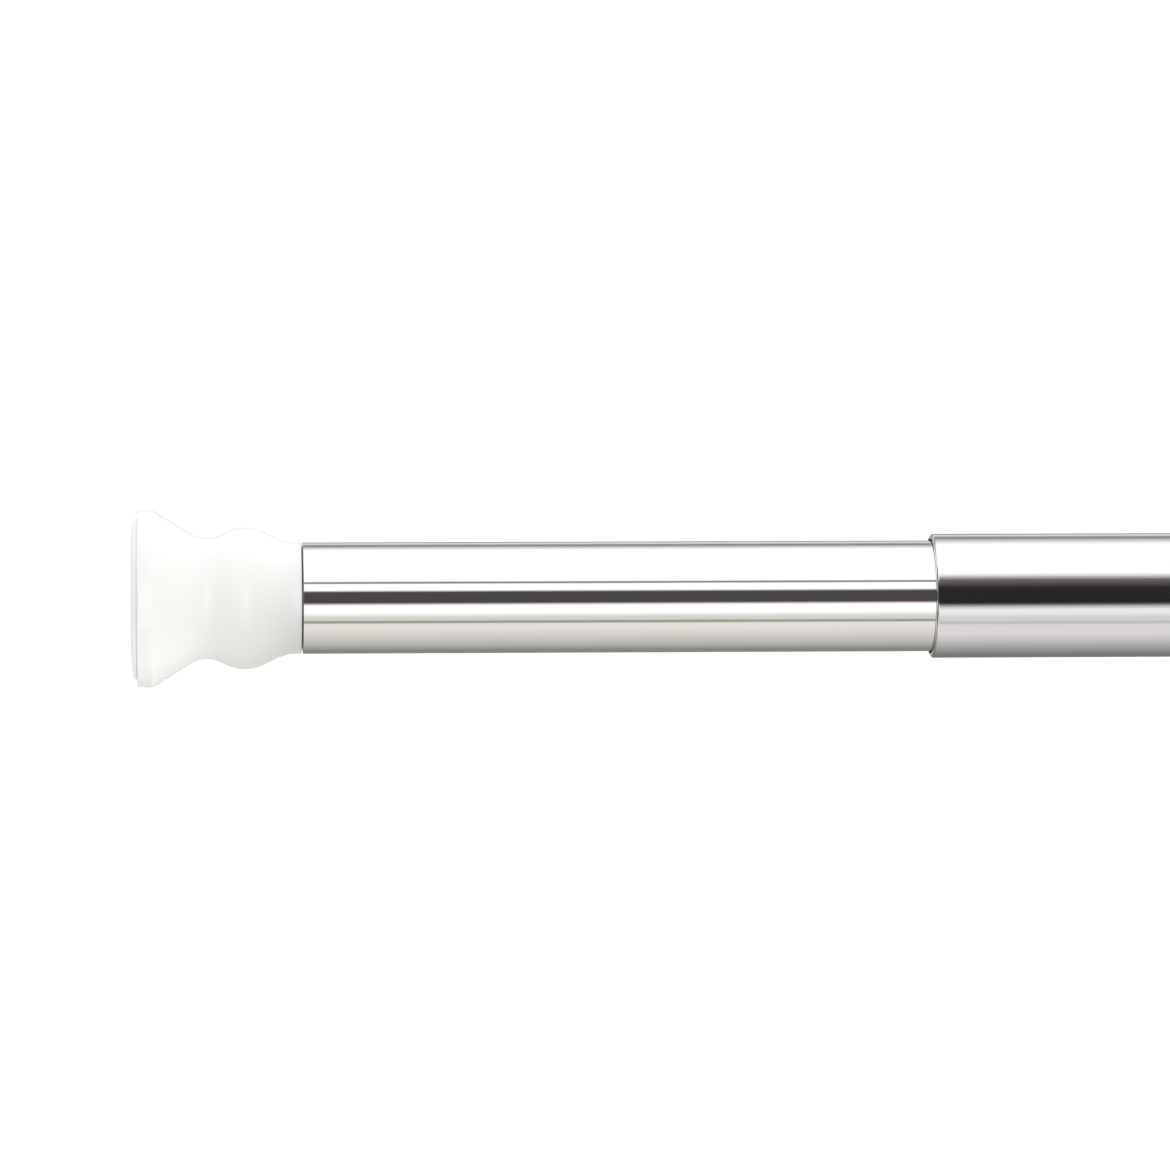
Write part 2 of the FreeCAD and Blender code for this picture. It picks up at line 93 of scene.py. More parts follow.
def cap_outline(neck_r, bulge_r, mouth_r, bore_r):
    """Turned outline of an end cap, from its front recess round to its bore."""
    rim_c, neck_c = (4.6, 18.7), (17.0, neck_r + 6.5)
    bulge_c, mouth_c = (25.6, bulge_r - 9.5), (37.4, mouth_r + 11.0)
    a1, a2 = cross_tangent(rim_c, 1.2, neck_c, 6.5, False)
    b1, b2 = cross_tangent(neck_c, 6.5, bulge_c, 9.5, True)
    c1, c2 = cross_tangent(bulge_c, 9.5, mouth_c, 11.0, False)
    spigot = bore_r - 0.25
    hollow = spigot - 1.6
    o = arc((1.65, 18.5), (1.65, 18.3), (1.45, 18.5))
    o += arc((1.95, 19.3), (1.45, 19.3), (1.95, 19.8))
    o += arc(rim_c, (4.6, 19.9), a1)
    o += arc(neck_c, a2, b1)
    o += arc(bulge_c, b2, c1)
    o += arc(mouth_c, c2, (37.4, mouth_r))
    o += arc((38.0, mouth_r - 0.2), (38.0, mouth_r), (38.2, mouth_r - 0.2))
    o += [(38.2, spigot), (53.5, spigot), (54.5, spigot - 0.7), (54.5, hollow)]
    o += [(8.0, hollow), (8.0, 3.0), (2.65, 3.0), (2.65, 18.3)]
    return o


def pad_outline():
    """Turned outline of a wall pad: flat middle, light crown, barbed stem."""
    r1 = 17.3
    lean = math.asin((r1 - 9.0) / 74.0)
    x1 = 74.0 * (1 - math.cos(lean))
    edge_c = (x1 + 0.9 * math.cos(lean), r1 - 0.9 * math.sin(lean))
    o = [(0.0, 0.0)] + arc((74.0, 9.0), (0.0, 9.0), (x1, r1), 0.6)
    o += arc(edge_c, (x1, r1), (edge_c[0], edge_c[1] + 0.9))
    o += [(2.6, edge_c[1] + 0.9), (2.6, 2.9), (8.1, 2.9), (8.1, 3.6), (8.7, 3.6)]
    o += [(10.6, 2.1), (10.6, 0.0)]
    return o


def groove(x, r, shoulder, bottom, forward):
    """A rolled groove in a tube wall, 0.6 deep, met along +x or -x."""
    s = 1 if forward else -1
    turn = 2 * math.atan(0.6 / 1.8)
    w = (shoulder + bottom) * math.sin(turn)
    tx, tr = bottom * math.sin(turn), r - 0.6 + bottom * (1 - math.cos(turn))
    o = arc((x - s * w, r - shoulder), (x - s * w, r), (x - s * tx, tr))
    o += arc((x, r - 0.6 + bottom), (x - s * tx, tr), (x + s * tx, tr))
    o += arc((x + s * w, r - shoulder), (x + s * tx, tr), (x + s * w, r))
    return o


def inner_tube_outline():
    r, b = INNER_R, INNER_R - WALL
    o = arc((INNER_X0 + 0.15, r - 0.15), (INNER_X0, r - 0.15), (INNER_X0 + 0.15, r), 0.04)
    o += groove(STOP_ROLL_X, r, 1.8, 1.2, True) + groove(BUSH_ROLL_X, r, 1.8, 1.2, True)
    o += arc((INNER_X1 - 0.15, r - 0.15), (INNER_X1 - 0.15, r), (INNER_X1, r - 0.15))
    o += [(INNER_X1, b)]
    o += groove(BUSH_ROLL_X, b, 1.1, 1.9, False) + groove(STOP_ROLL_X, b, 1.1, 1.9, False)
    o += [(INNER_X0, b)]
    return o


def outer_tube_outline():
    c = (OUTER_X0 + LIP_BEND, OUTER_R - LIP_BEND)
    o = arc(c, (OUTER_X0, c[1]), (OUTER_X0 + LIP_BEND, OUTER_R), 0.06)
    o += arc(
        (OUTER_X1 - 0.15, OUTER_R - 0.15),
        (OUTER_X1 - 0.15, OUTER_R),
        (OUTER_X1, OUTER_R - 0.15),
        0.04,
    )
    o += [(OUTER_X1, OUTER_R - WALL)]
    o += arc(c, (OUTER_X0 + LIP_BEND, OUTER_R - WALL), (OUTER_X0 + WALL, c[1]), 0.06)
    o += [(OUTER_X0 + WALL, LIP_BORE_R)]
    o += arc(
        (OUTER_X0 + 0.06, LIP_BORE_R + 0.06),
        (OUTER_X0 + 0.06, LIP_BORE_R),
        (OUTER_X0, LIP_BORE_R + 0.06),
        0.03,
    )
    return o


# ------------------------------------------------------------------ meshes
def clean(outline):
    """The outline without repeated points, and with a point close to each end of every
    long straight run, which keeps the shading of the run straight."""
    pts = []
    for p in outline:
        if not pts or math.dist(p, pts[-1]) > 1e-4:
            pts.append(p)
    if math.dist(pts[0], pts[-1]) < 1e-4:
        pts.pop()
    out = []
    for p, q in zip(pts, pts[1:] + pts[:1]):
        out.append(p)
        length = math.dist(p, q)
        if length > 2.0 and max(p[1], q[1]) > 1e-6:
            for t in (0.3 / length, 1 - 0.3 / length):
                out.append((p[0] + t * (q[0] - p[0]), p[1] + t * (q[1] - p[1])))
    return out


def add_object(name, mesh):
    obj = bpy.data.objects.new(name, mesh)
    bpy.context.scene.collection.objects.link(obj)
    return obj


def lathe(name, outline, segments, place=None):
    """A closed outline of (x, radius) in mm turned about the rod's axis, with unwrapped
    coordinates, smooth faces, and sharp edges where the outline has a corner."""
    pts = clean(outline)
    n = len(pts)
    run = [0.0]
    for i in range(n):
        run.append(run[-1] + math.dist(pts[i], pts[(i + 1) % n]))
    bm = bmesh.new()
    rings = []
    for x, r in pts:
        if r < 1e-6:
            rings.append([bm.verts.new((x * MM, 0, 0))])
        else:
            rings.append(
                [
                    bm.verts.new(
                        (
                            x * MM,
                            r * MM * math.cos(2 * math.pi * k / segments),
                            r * MM * math.sin(2 * math.pi * k / segments),
                        )
                    )
                    for k in range(segments)
                ]
            )
    uv = bm.loops.layers.uv.new("UVMap")

    def face(verts, coords):
        f = bm.faces.new(verts)
        f.smooth = True
        for loop, c in zip(f.loops, coords):
            loop[uv].uv = c

    for i in range(n):
        a, b = rings[i], rings[(i + 1) % n]
        va, vb = run[i] / run[-1], run[i + 1] / run[-1]
        if len(a) == 1 and len(b) == 1:
            continue
        for k in range(segments):
            k2 = (k + 1) % segments
            u0, u1 = k / segments, (k + 1) / segments
            if len(a) == 1:
                face((a[0], b[k2], b[k]), ((u0, va), (u1, vb), (u0, vb)))
            elif len(b) == 1:
                face((a[k], a[k2], b[0]), ((u0, va), (u1, va), (u0, vb)))
            else:
                face(
                    (a[k], a[k2], b[k2], b[k]),
                    ((u0, va), (u1, va), (u1, vb), (u0, vb)),
                )
    for i in range(n):
        p, q, s = pts[i - 1], pts[i], pts[(i + 1) % n]
        t = math.atan2(q[1] - p[1], q[0] - p[0]) - math.atan2(s[1] - q[1], s[0] - q[0])
        t = abs((t + math.pi) % (2 * math.pi) - math.pi)
        if t > math.radians(32) and len(rings[i]) > 1:
            ring = rings[i]
            for k in range(segments):
                e = bm.edges.get((ring[k], ring[(k + 1) % segments]))
                if e:
                    e.smooth = False
    bmesh.ops.recalc_face_normals(bm, faces=bm.faces)
    if place is not None:
        bm.transform(place)
    mesh = bpy.data.meshes.new(name)
    bm.to_mesh(mesh)
    bm.free()
    return add_object(name, mesh)


def coil_spring(name):
    """Compression spring with closed, ground ends, as one swept tube."""
    turns, closed, per_turn, around = 15.0, 1.25, 48, 20
    lead = 2.06
    body = (SPRING_X1 - SPRING_X0) - 2 * closed * lead
    pitch = body / (turns - 2 * closed)
    ease = 0.35

    def pitch_at(t):
        edge = min(t, turns - t)
        k = (edge - (closed - ease)) / (2 * ease)
        k = max(0.0, min(1.0, k))
        return lead + (pitch - lead) * k * k * (3 - 2 * k)

    n = int(turns * per_turn)
    xs, x = [], 0.0
    for i in range(n + 1):
        xs.append(x)
        x += pitch_at((i + 0.5) / per_turn) / per_turn
    span = SPRING_X1 - SPRING_X0
    xs = [SPRING_X0 + v * span / xs[-1] for v in xs]
    bm = bmesh.new()
    rings = []
    for i, cx in enumerate(xs):
        a = 2 * math.pi * i / per_turn
        ring = []
        for k in range(around):
            b = 2 * math.pi * k / around
            r = COIL_R + WIRE_R * math.cos(b)
            px = cx + WIRE_R * math.sin(b)
            px = min(max(px, SPRING_X0 + 0.02), SPRING_X1 - 0.02)
            ring.append(
                bm.verts.new((px * MM, r * math.cos(a) * MM, r * math.sin(a) * MM))
            )
        rings.append(ring)
    for i in range(n):
        for k in range(around):
            k2 = (k + 1) % around
            f = bm.faces.new(
                (rings[i][k], rings[i][k2], rings[i + 1][k2], rings[i + 1][k])
            )
            f.smooth = True
    bm.faces.new(rings[0])
    bm.faces.new(list(reversed(rings[-1])))
    bmesh.ops.recalc_face_normals(bm, faces=bm.faces)
    for e in bm.edges:
        if len(e.link_faces) == 2 and e.calc_face_angle(0.0) > math.radians(40):
            e.smooth = False
    mesh = bpy.data.meshes.new(name)
    bm.to_mesh(mesh)
    bm.free()
    return add_object(name, mesh)


# ------------------------------------------------------------------ materials
def material(name):
    m = bpy.data.materials.new(name)
    m.use_nodes = True
    return m, m.node_tree, m.node_tree.nodes["Principled BSDF"]


def add_noise(nt, scale, detail=3.0, rough=0.55, stretch=(1, 1, 1)):
    """Noise over the object's own space; scale is in features per metre."""
    co = nt.nodes.new("ShaderNodeTexCoord")
    mp = nt.nodes.new("ShaderNodeMapping")
    mp.inputs["Scale"].default_value = stretch
    nz = nt.nodes.new("ShaderNodeTexNoise")
    nz.inputs["Scale"].default_value = scale
    nz.inputs["Detail"].default_value = detail
    nz.inputs["Roughness"].default_value = rough
    nt.links.new(co.outputs["Object"], mp.inputs["Vector"])
    nt.links.new(mp.outputs["Vector"], nz.inputs["Vector"])
    return nz.outputs["Fac"]


def add_ramp(nt, fac, low, high, at=(0.3, 0.7)):
    rp = nt.nodes.new("ShaderNodeValToRGB")
    rp.color_ramp.elements[0].position = at[0]
    rp.color_ramp.elements[0].color = (*low, 1)
    rp.color_ramp.elements[1].position = at[1]
    rp.color_ramp.elements[1].color = (*high, 1)
    nt.links.new(fac, rp.inputs["Fac"])
    return rp.outputs["Color"]


def add_range(nt, fac, low, high, at=(0.3, 0.7)):
    mr = nt.nodes.new("ShaderNodeMapRange")
    mr.inputs["From Min"].default_value = at[0]
    mr.inputs["From Max"].default_value = at[1]
    mr.inputs["To Min"].default_value = low
    mr.inputs["To Max"].default_value = high
    nt.links.new(fac, mr.inputs["Value"])
    return mr.outputs["Result"]


def add_bump(nt, bsdf, height, distance, strength=1.0, below=None):
    bp = nt.nodes.new("ShaderNodeBump")
    bp.inputs["Strength"].default_value = strength
    bp.inputs["Distance"].default_value = distance
    nt.links.new(height, bp.inputs["Height"])
    if below is not None:
        nt.links.new(below, bp.inputs["Normal"])
    nt.links.new(bp.outputs["Normal"], bsdf.inputs["Normal"])
    return bp.outputs["Normal"]


def mirror_steel():
    """Inner tube: bright mirror polish, a little warm, with faint draw lines."""
    m, nt, b = material("inner_steel")
    b.inputs["Metallic"].default_value = 1.0
    soft = add_noise(nt, 30.0, 3.0, 0.5, (0.3, 1, 1))
    nt.links.new(add_ramp(nt, soft, (0.935, 0.93, 0.915), (0.955, 0.95, 0.935)), b.inputs["Base Color"])
    draw = add_noise(nt, 900.0, 4.0, 0.6, (0.012, 1, 1))
    nt.links.new(add_range(nt, draw, 0.02, 0.045), b.inputs["Roughness"])
    add_bump(nt, b, draw, 1.2e-6, 0.5)
    return m


def satin_steel():
    """Outer tube: polished outside with fine lengthwise lines; dull in its bore, with painted shade
    there: near black.
    """
    m, nt, b = material("outer_steel")
    b.inputs["Metallic"].default_value = 1.0
    co = nt.nodes.new("ShaderNodeTexCoord")
    across = nt.nodes.new("ShaderNodeVectorMath")
    across.operation = "MULTIPLY"
    across.inputs[1].default_value = (0, 1, 1)
    nt.links.new(co.outputs["Object"], across.inputs[0])
    radius = nt.nodes.new("ShaderNodeVectorMath")
    radius.operation = "LENGTH"
    nt.links.new(across.outputs["Vector"], radius.inputs[0])
    sep = nt.nodes.new("ShaderNodeSeparateXYZ")
    nt.links.new(co.outputs["Object"], sep.inputs["Vector"])
    # painted shade: the bore, the inside of the rolled lip and the lip's innermost edge are coloured
    # near black and made dull, for the shade in the gap between lip and inner tube; the outside and the
    # lip's front face stay polished
    outside = add_range(nt, radius.outputs["Value"], 0.0, 1.0, (0.01332, 0.01340))
    face = add_range(nt, sep.outputs["X"], 1.0, 0.0, (0.18035, 0.18060))
    edge = add_range(nt, radius.outputs["Value"], 0.0, 1.0, (0.01298, 0.01302))
    lip = nt.nodes.new("ShaderNodeMath")
    lip.operation = "MULTIPLY"
    nt.links.new(face, lip.inputs[0])
    nt.links.new(edge, lip.inputs[1])
    both = nt.nodes.new("ShaderNodeMath")
    both.operation = "MAXIMUM"
    nt.links.new(outside, both.inputs[0])
    nt.links.new(lip.outputs["Value"], both.inputs[1])
    skin = both.outputs["Value"]
    soft = add_noise(nt, 30.0, 3.0, 0.5, (0.3, 1, 1))
    mix = nt.nodes.new("ShaderNodeMix")
    mix.data_type = "RGBA"
    nt.links.new(skin, mix.inputs[0])
    # near black for the painted shade inside, bright steel for the polished outside
    nt.links.new(add_ramp(nt, soft, (0.10, 0.095, 0.09), (0.14, 0.135, 0.13)), mix.inputs[6])
    nt.links.new(add_ramp(nt, soft, (0.915, 0.905, 0.905), (0.935, 0.925, 0.925)), mix.inputs[7])
    nt.links.new(mix.outputs[2], b.inputs["Base Color"])
    draw = add_noise(nt, 2200.0, 4.0, 0.6, (0.006, 1, 1))
    rough = nt.nodes.new("ShaderNodeMix")
    nt.links.new(skin, rough.inputs[0])
    nt.links.new(add_range(nt, draw, 0.45, 0.6), rough.inputs[2])
    nt.links.new(add_range(nt, draw, 0.05, 0.10), rough.inputs[3])
    nt.links.new(rough.outputs[0], b.inputs["Roughness"])
    streak = add_noise(nt, 700.0, 3.0, 0.6, (0.006, 1, 1))
    add_bump(nt, b, draw, 8e-6, 0.6, add_bump(nt, b, streak, 1.2e-5, 0.6))
    return m


def cap_plastic():
    """White moulded plastic, smooth gloss, slightly translucent, with painted shade over the
    spigots, between the two shoulders: near black there, for the shade in the gap at each tube's end."""
    m, nt, b = material("cap_plastic")
    tone = add_noise(nt, 60.0, 2.0, 0.5)
    co = nt.nodes.new("ShaderNodeTexCoord")
    sep = nt.nodes.new("ShaderNodeSeparateXYZ")
    nt.links.new(co.outputs["Object"], sep.inputs["Vector"])
    # painted shade: from each cap's shoulder face inwards over its spigot the plastic is coloured near
    # black, standing in for the shadow in the gap at the tube's end
    left = add_range(nt, sep.outputs["X"], 0.0, 1.0, (0.03808, 0.03818))
    right = add_range(nt, sep.outputs["X"], 1.0, 0.0, (0.68152, 0.68162))
    painted_joint_shade = nt.nodes.new("ShaderNodeMath")
    painted_joint_shade.operation = "MULTIPLY"
    nt.links.new(left, painted_joint_shade.inputs[0])
    nt.links.new(right, painted_joint_shade.inputs[1])
    mix = nt.nodes.new("ShaderNodeMix")
    mix.data_type = "RGBA"
    nt.links.new(painted_joint_shade.outputs["Value"], mix.inputs[0])
    nt.links.new(add_ramp(nt, tone, (0.868, 0.865, 0.85), (0.876, 0.873, 0.86)), mix.inputs[6])
    # the near-black colour of that painted shade
    nt.links.new(add_ramp(nt, tone, (0.05, 0.047, 0.042), (0.07, 0.066, 0.06)), mix.inputs[7])
    nt.links.new(mix.outputs[2], b.inputs["Base Color"])
    skin = add_noise(nt, 500.0, 2.0, 0.5)
    nt.links.new(add_range(nt, skin, 0.11, 0.14), b.inputs["Roughness"])
    b.inputs["Subsurface Weight"].default_value = 0.5
    b.inputs["Subsurface Radius"].default_value = (1.0, 0.95, 0.85)
    b.inputs["Subsurface Scale"].default_value = 0.003
    add_bump(nt, b, skin, 3e-6, 0.3)
    return m


def pad_rubber():
    """Soft white pad, matt, with a fine moulded grain."""
    m, nt, b = material("pad_rubber")
    tone = add_noise(nt, 120.0, 4.0, 0.6)
    nt.links.new(add_ramp(nt, tone, (0.81, 0.81, 0.80), (0.84, 0.84, 0.83)), b.inputs["Base Color"])
    grain = add_noise(nt, 2600.0, 4.0, 0.6)
    nt.links.new(add_range(nt, grain, 0.55, 0.75), b.inputs["Roughness"])
    b.inputs["Specular IOR Level"].default_value = 0.35
    add_bump(nt, b, grain, 2e-5, 0.5)
    return m


def nylon(name, low, high, rough):
    m, nt, b = material(name)
    tone = add_noise(nt, 260.0, 4.0, 0.6)
    nt.links.new(add_ramp(nt, tone, low, high), b.inputs["Base Color"])
    grain = add_noise(nt, 2400.0, 4.0, 0.65)
    nt.links.new(add_range(nt, grain, rough - 0.08, rough + 0.08), b.inputs["Roughness"])
    add_bump(nt, b, grain, 2.5e-5, 0.45)
    return m


def plated(name, low, high, rough, stretch=(1, 1, 1)):
    m, nt, b = material(name)
    b.inputs["Metallic"].default_value = 1.0
    tone = add_noise(nt, 420.0, 5.0, 0.6, stretch)
    nt.links.new(add_ramp(nt, tone, low, high), b.inputs["Base Color"])
    fine = add_noise(nt, 1800.0, 4.0, 0.6, stretch)
    nt.links.new(add_range(nt, fine, rough - 0.07, rough + 0.09), b.inputs["Roughness"])
    add_bump(nt, b, fine, 1.2e-5, 0.4)
    return m


FINISH = {
    "inner_steel": mirror_steel(),
    "outer_steel": satin_steel(),
    "cap_plastic": cap_plastic(),
    "pad_rubber": pad_rubber(),
    "spring_steel": plated("spring_steel", (0.30, 0.30, 0.31), (0.46, 0.46, 0.47), 0.30),
    "plated_steel": plated("plated_steel", (0.56, 0.56, 0.54), (0.70, 0.70, 0.68), 0.34),
    "white_nylon": nylon("white_nylon", (0.74, 0.72, 0.66), (0.82, 0.80, 0.75), 0.42),
    "black_nylon": nylon("black_nylon", (0.014, 0.014, 0.016), (0.03, 0.03, 0.033), 0.45),
}

# ------------------------------------------------------------------ pieces
flip = Matrix.Translation((RIGHT_FACE_X * MM, 0, 0)) @ Matrix.Rotation(math.pi, 4, "Z")


def place(obj, body, node, slot):
    obj.data.materials.clear()
    obj.data.materials.append(FINISH[slot])
    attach(obj, body)
    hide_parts(node)
    return obj


place(lathe("pad_left", pad_outline(), 192), "inner_rod", "left_wall_pad", "pad_rubber")
place(
    lathe("cap_left", cap_outline(13.58, 15.9, 12.45, INNER_R - WALL), 224),
    "inner_rod", "left_end_cap", "cap_plastic",
)
place(lathe("tube_inner", inner_tube_outline(), 256), "inner_rod", "inner_tube", "inner_steel")
place(lathe("tube_outer", outer_tube_outline(), 256), "outer_rod", "outer_tube", "outer_steel")
place(
    lathe("cap_right", cap_outline(14.6, 17.0, 13.95, OUTER_R - WALL), 224, flip),
    "outer_rod", "right_end_cap", "cap_plastic",
)
place(lathe("pad_right", pad_outline(), 192, flip), "outer_rod", "right_wall_pad", "pad_rubber")
spring = place(coil_spring("spring_coil"), "inner_rod", "compression_spring", "spring_steel")
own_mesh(spring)

SLOTS = {s["node"]: s["material_slot"] for s in frame["record"]["subparts"]}
for name, obj in frame["nodes"].items():
    obj.data.materials.clear()
    obj.data.materials.append(FINISH[SLOTS[name]])

# ------------------------------------------------------------------ floor
FLOOR_Z = -0.30
bm = bmesh.new()
bmesh.ops.create_grid(bm, x_segments=8, y_segments=8, size=9.0)
mesh = bpy.data.meshes.new("floor")
bm.to_mesh(mesh)
bm.free()
floor = add_object("floor", mesh)
floor.location = (0.36, 0, FLOOR_Z)
m, nt, b = material("floor_paper")
# pale paper with painted light: coloured grey near the object and brightening to white away from it
paper = add_noise(nt, 6.0, 2.0)
co = nt.nodes.new("ShaderNodeTexCoord")
away = nt.nodes.new("ShaderNodeVectorMath")
away.operation = "LENGTH"
nt.links.new(co.outputs["Object"], away.inputs[0])
mix = nt.nodes.new("ShaderNodeMix")
mix.data_type = "RGBA"
nt.links.new(add_range(nt, away.outputs["Value"], 0.0, 1.0, (0.8, 1.85)), mix.inputs[0])
nt.links.new(add_ramp(nt, paper, (0.68, 0.68, 0.68), (0.69, 0.69, 0.69)), mix.inputs[6])
nt.links.new(add_ramp(nt, paper, (0.93, 0.93, 0.93), (0.94, 0.94, 0.94)), mix.inputs[7])
nt.links.new(mix.outputs[2], b.inputs["Base Color"])
b.inputs["Roughness"].default_value = 0.9
b.inputs["Specular IOR Level"].default_value = 0.1
floor.data.materials.append(m)
floor.visible_glossy = False
floor.visible_diffuse = False

# ------------------------------------------------------------------ light tents
# Round tents about the rod, seen only in reflections and made of plain panels.  A panel
# is (first angle, last angle, brightness, tint), and between two panels the light changes
# evenly.  Angles run from the camera's side (0) over the top (90) to the back (180), and
# below from 0 to -180.  Each tube has a tent of its own, so that the panels keep to it
# when the tubes slide; the plain tent is for everything else.
WHITE, WARM, ROSE = (1, 1, 1), (1, 0.98, 0.93), (1, 0.98, 0.97)
STRAW, BROWN = (1, 0.98, 0.85), (1, 0.92, 0.9)

BACK = [
    (135, 140, 0.25, WHITE),  # gap
    (148, 155, 0.75, WHITE),  # back sheet
    (162, 168, 0.2, WHITE),
    (172, 180, 0.5, WHITE),  # strip light behind the rod
]
THIN_TUBE = [
    (-180, -172, 0.5, WHITE),  # lower half of the strip light
    (-168, -140, 0.25, STRAW),  # floor sheet, from the back to the front
    (-110, -110, 0.5, WARM),
    (-65, -55, 0.8, WARM),
    (-52, -50, 0.3, WARM),  # its front edge
    (-46, -40, 0.7, WARM),
    (-30, -16, 1.1, WHITE),  # low softbox
    (-10, 12, 0.07, BROWN),  # dark flag
    (16, 28, 1.1, WHITE),  # front softbox
    (30, 32, 0.15, WHITE),  # gap
    (34, 115, 1.1, WHITE),  # overhead softbox
] + BACK
THICK_TUBE = [
    (-180, -172, 0.5, WHITE),  # lower half of the strip light
    (-168, -140, 0.2, ROSE),  # floor sheet
    (-110, -110, 0.4, ROSE),
    (-75, -55, 0.75, ROSE),
    (-52, -50, 0.55, ROSE),  # its front edge
    (-46, -40, 0.7, ROSE),
    (-32, -25, 0.9, WHITE),  # low softbox
    (-14, 15, 0.02, BROWN),  # dark flag, softer at its top
    (30, 30, 0.15, BROWN),
    (42, 110, 1.1, WHITE),  # overhead softbox
] + BACK
PLAIN = [(-180, -40, 0.8, WARM), (40, 140, 1.1, WHITE), (165, 180, 0.6, WHITE)]


def tent_ramp(nt, fac, panels):
    rp = nt.nodes.new("ShaderNodeValToRGB")
    el = rp.color_ramp.elements
    while len(el) > 1:
        el.remove(el[-1])
    used = False
    for first, last, level, tint in panels:
        for deg in sorted({first, last}):
            e = el.new((deg + 180) / 360) if used else el[0]
            used = True
            e.position = (deg + 180) / 360
            e.color = (level * tint[0], level * tint[1], level * tint[2], 1)
    nt.links.new(fac, rp.inputs["Fac"])
    return rp.outputs["Color"]


def glow(name, see_through):
    """An emitting material, and the socket of its light's colour."""
    m = bpy.data.materials.new(name)
    m.use_nodes = True
    nt = m.node_tree
    nt.nodes.clear()
    em = nt.nodes.new("ShaderNodeEmission")
    out = nt.nodes.new("ShaderNodeOutputMaterial")
    if see_through:
        clear = nt.nodes.new("ShaderNodeBsdfTransparent")
        both = nt.nodes.new("ShaderNodeAddShader")
        nt.links.new(em.outputs["Emission"], both.inputs[0])
        nt.links.new(clear.outputs["BSDF"], both.inputs[1])
        nt.links.new(both.outputs["Shader"], out.inputs["Surface"])
    else:
        nt.links.new(em.outputs["Emission"], out.inputs["Surface"])
    return m, nt, em.inputs["Color"]


def light_tent(name, radius, reach, panels, lights, see_through):
    """A round tent of panels with a dark left and a dim right end, which lights only the
    objects given."""
    segs = 180
    bm = bmesh.new()
    rings = []
    for x in reach:
        rings.append(
            [
                bm.verts.new(
                    (
                        x,
                        radius * math.cos(2 * math.pi * k / segs),
                        radius * math.sin(2 * math.pi * k / segs),
                    )
                )
                for k in range(segs)
            ]
        )
    poles = [bm.verts.new((x, 0, 0)) for x in reach]
    for k in range(segs):
        k2 = (k + 1) % segs
        bm.faces.new((rings[0][k], rings[0][k2], rings[1][k2], rings[1][k])).smooth = True
        bm.faces.new((poles[0], rings[0][k2], rings[0][k])).material_index = 1
        bm.faces.new((poles[1], rings[1][k], rings[1][k2])).material_index = 2
    mesh = bpy.data.meshes.new(name)
    bm.to_mesh(mesh)
    bm.free()
    tent = add_object(name, mesh)
    m, nt, colour = glow(name, see_through)
    geo = nt.nodes.new("ShaderNodeNewGeometry")
    sep = nt.nodes.new("ShaderNodeSeparateXYZ")
    nt.links.new(geo.outputs["Position"], sep.inputs["Vector"])
    neg = nt.nodes.new("ShaderNodeMath")
    neg.operation = "MULTIPLY"
    neg.inputs[1].default_value = -1.0
    nt.links.new(sep.outputs["Y"], neg.inputs[0])
    ang = nt.nodes.new("ShaderNodeMath")
    ang.operation = "ARCTAN2"
    nt.links.new(sep.outputs["Z"], ang.inputs[0])
    nt.links.new(neg.outputs["Value"], ang.inputs[1])
    unit = add_range(nt, ang.outputs["Value"], 0.0, 1.0, (-math.pi, math.pi))
    nt.links.new(tent_ramp(nt, unit, panels), colour)
    tent.data.materials.append(m)
    for side, level in (("_left", 0.05), ("_right", 0.2)):
        m, nt, colour = glow(name + side, see_through)
        colour.default_value = (level, level, level, 1)
        tent.data.materials.append(m)
    for ray in ("camera", "diffuse", "transmission", "volume_scatter", "shadow"):
        setattr(tent, "visible_" + ray, False)
    lit = bpy.data.collections.new(name + "_lights")
    for obj in lights:
        lit.objects.link(obj)
    tent.light_linking.receiver_collection = lit
    return tent


thin, thick = bpy.data.objects["tube_inner"], bpy.data.objects["tube_outer"]
others = [
    o for o in bpy.context.scene.objects
    if o.type == "MESH" and o not in (thin, thick, floor) and not o.hide_render
]
plain_tent = light_tent("tent_plain", 0.60, (-3.0, 4.0), PLAIN, others, False)
thick_tent = light_tent("tent_thick_tube", 0.55, (-0.7, 3.9), THICK_TUBE, [thick], True)
thin_tent = light_tent("tent_thin_tube", 0.50, (-0.65, 3.8), THIN_TUBE, [thin], True)

# ------------------------------------------------------------------ room light
world = bpy.data.worlds.new("studio")
bpy.context.scene.world = world
world.use_nodes = True
nt = world.node_tree
nt.nodes.clear()
co = nt.nodes.new("ShaderNodeTexCoord")
sep = nt.nodes.new("ShaderNodeSeparateXYZ")
nt.links.new(co.outputs["Generated"], sep.inputs["Vector"])
up = add_range(nt, sep.outputs["Z"], 0.0, 1.0, (-1.0, 1.0))
rp = nt.nodes.new("ShaderNodeValToRGB")
el = rp.color_ramp.elements
el[0].position, el[0].color = 0.0, (0.80, 0.79, 0.77, 1)
el[1].position, el[1].color = 1.0, (1.3, 1.3, 1.3, 1)
e = el.new(0.42)
e.color = (0.82, 0.815, 0.80, 1)
e = el.new(0.58)
e.color = (1.25, 1.25, 1.25, 1)
nt.links.new(up, rp.inputs["Fac"])
side = nt.nodes.new("ShaderNodeVectorMath")
side.operation = "SCALE"
nt.links.new(rp.outputs["Color"], side.inputs[0])
nt.links.new(add_range(nt, sep.outputs["X"], 0.92, 1.06, (-1.0, 1.0)), side.inputs["Scale"])
path = nt.nodes.new("ShaderNodeLightPath")
room = nt.nodes.new("ShaderNodeBackground")
nt.links.new(side.outputs["Vector"], room.inputs["Color"])
white = nt.nodes.new("ShaderNodeBackground")
white.inputs["Color"].default_value = (1, 1, 1, 1)
white.inputs["Strength"].default_value = 1.05
pick = nt.nodes.new("ShaderNodeMixShader")
nt.links.new(path.outputs["Is Camera Ray"], pick.inputs["Fac"])
nt.links.new(room.outputs["Background"], pick.inputs[1])
nt.links.new(white.outputs["Background"], pick.inputs[2])
out = nt.nodes.new("ShaderNodeOutputWorld")
nt.links.new(pick.outputs["Shader"], out.inputs["Surface"])

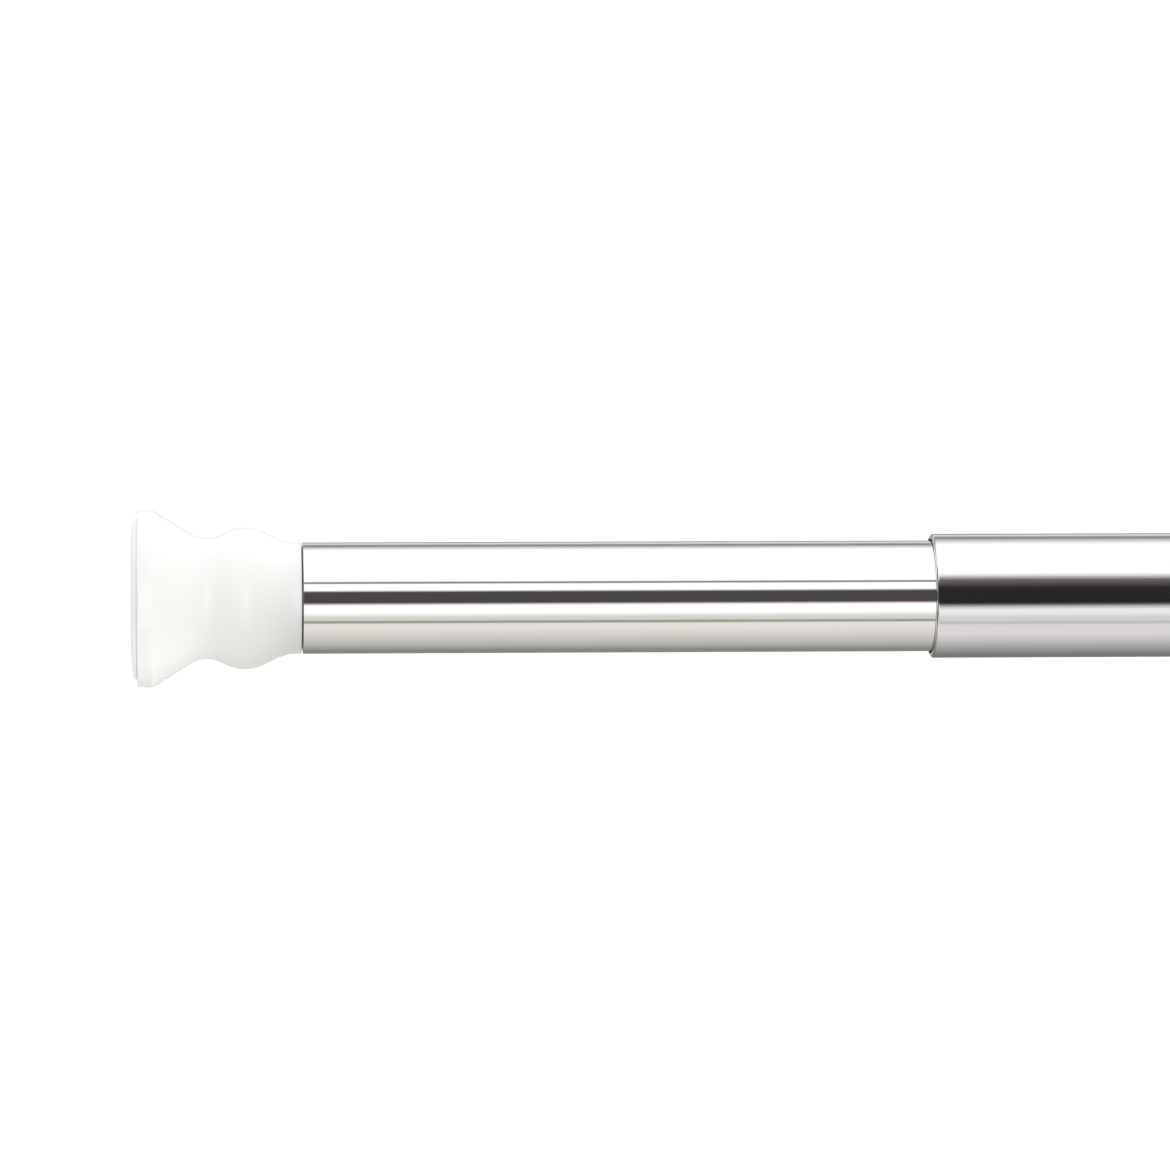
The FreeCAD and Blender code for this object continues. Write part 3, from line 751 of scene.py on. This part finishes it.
# a soft spot from below on the flare of the left cap
fill_data = bpy.data.lights.new("fill", "SPOT")
fill_data.spot_size = math.radians(7)
fill_data.spot_blend = 0.4
fill_data.shadow_soft_size = 0.02
fill_data.energy = 1.8
fill = bpy.data.objects.new("fill", fill_data)
bpy.context.scene.collection.objects.link(fill)
fill.location = (0.06, -0.20, -0.17)
fill.rotation_euler = (Vector((0.003, 0, -0.012)) - fill.location).to_track_quat("-Z", "Y").to_euler()
fill.visible_camera = False
fill.visible_glossy = False


def softbox(name, size, place, turn, level, tent):
    """A flat panel of light, seen only in the pieces that the given tent lights."""
    bm = bmesh.new()
    bmesh.ops.create_grid(bm, x_segments=1, y_segments=1, size=0.5)
    mesh = bpy.data.meshes.new(name)
    bm.to_mesh(mesh)
    bm.free()
    box = add_object(name, mesh)
    box.scale = (size[0], size[1], 1.0)
    box.location = place
    box.rotation_euler = [math.radians(t) for t in turn]
    m, nt, colour = glow(name, True)
    colour.default_value = (level, level, level, 1)
    box.data.materials.append(m)
    for ray in ("camera", "diffuse", "transmission", "volume_scatter", "shadow"):
        setattr(box, "visible_" + ray, False)
    box.light_linking.receiver_collection = tent.light_linking.receiver_collection


# one in front, which only the gloss of the plastic pieces catches
softbox("softbox", (0.2, 0.55), (0.03, -0.45, -0.09), (90, 0, 0), 1.4, plain_tent)
# an upright strip at the left end of each tube's tent, for views along the rod
softbox("end_strip_thick", (0.5, 0.06), (-0.6, 0, 0), (0, 90, 0), 0.7, thick_tent)
softbox("end_strip_thin", (0.5, 0.06), (-0.55, 0, 0), (0, 90, 0), 0.7, thin_tent)

# ------------------------------------------------------------------ camera
cam_data = bpy.data.cameras.new("camera")
cam = bpy.data.objects.new("camera", cam_data)
bpy.context.scene.collection.objects.link(cam)
cam_data.sensor_width = 36.0
cam_data.lens = 200.94
cam_data.clip_start, cam_data.clip_end = 0.05, 60.0
YAW, ROLL = math.radians(3.589), math.radians(-0.207)
ahead = Vector((math.sin(YAW), math.cos(YAW), 0))
right = Vector((math.cos(YAW), -math.sin(YAW), 0))
upward = Vector((0, 0, 1))
r2 = right * math.cos(ROLL) + upward * math.sin(ROLL)
u2 = upward * math.cos(ROLL) - right * math.sin(ROLL)
rot = Matrix((r2, u2, -ahead)).transposed().to_4x4()
cam.matrix_world = Matrix.Translation((0.01001, -1.4679, 0.00274)) @ rot
bpy.context.scene.camera = cam
bpy.context.scene.view_settings.view_transform = "Standard"
bpy.context.scene.view_settings.look = "None"
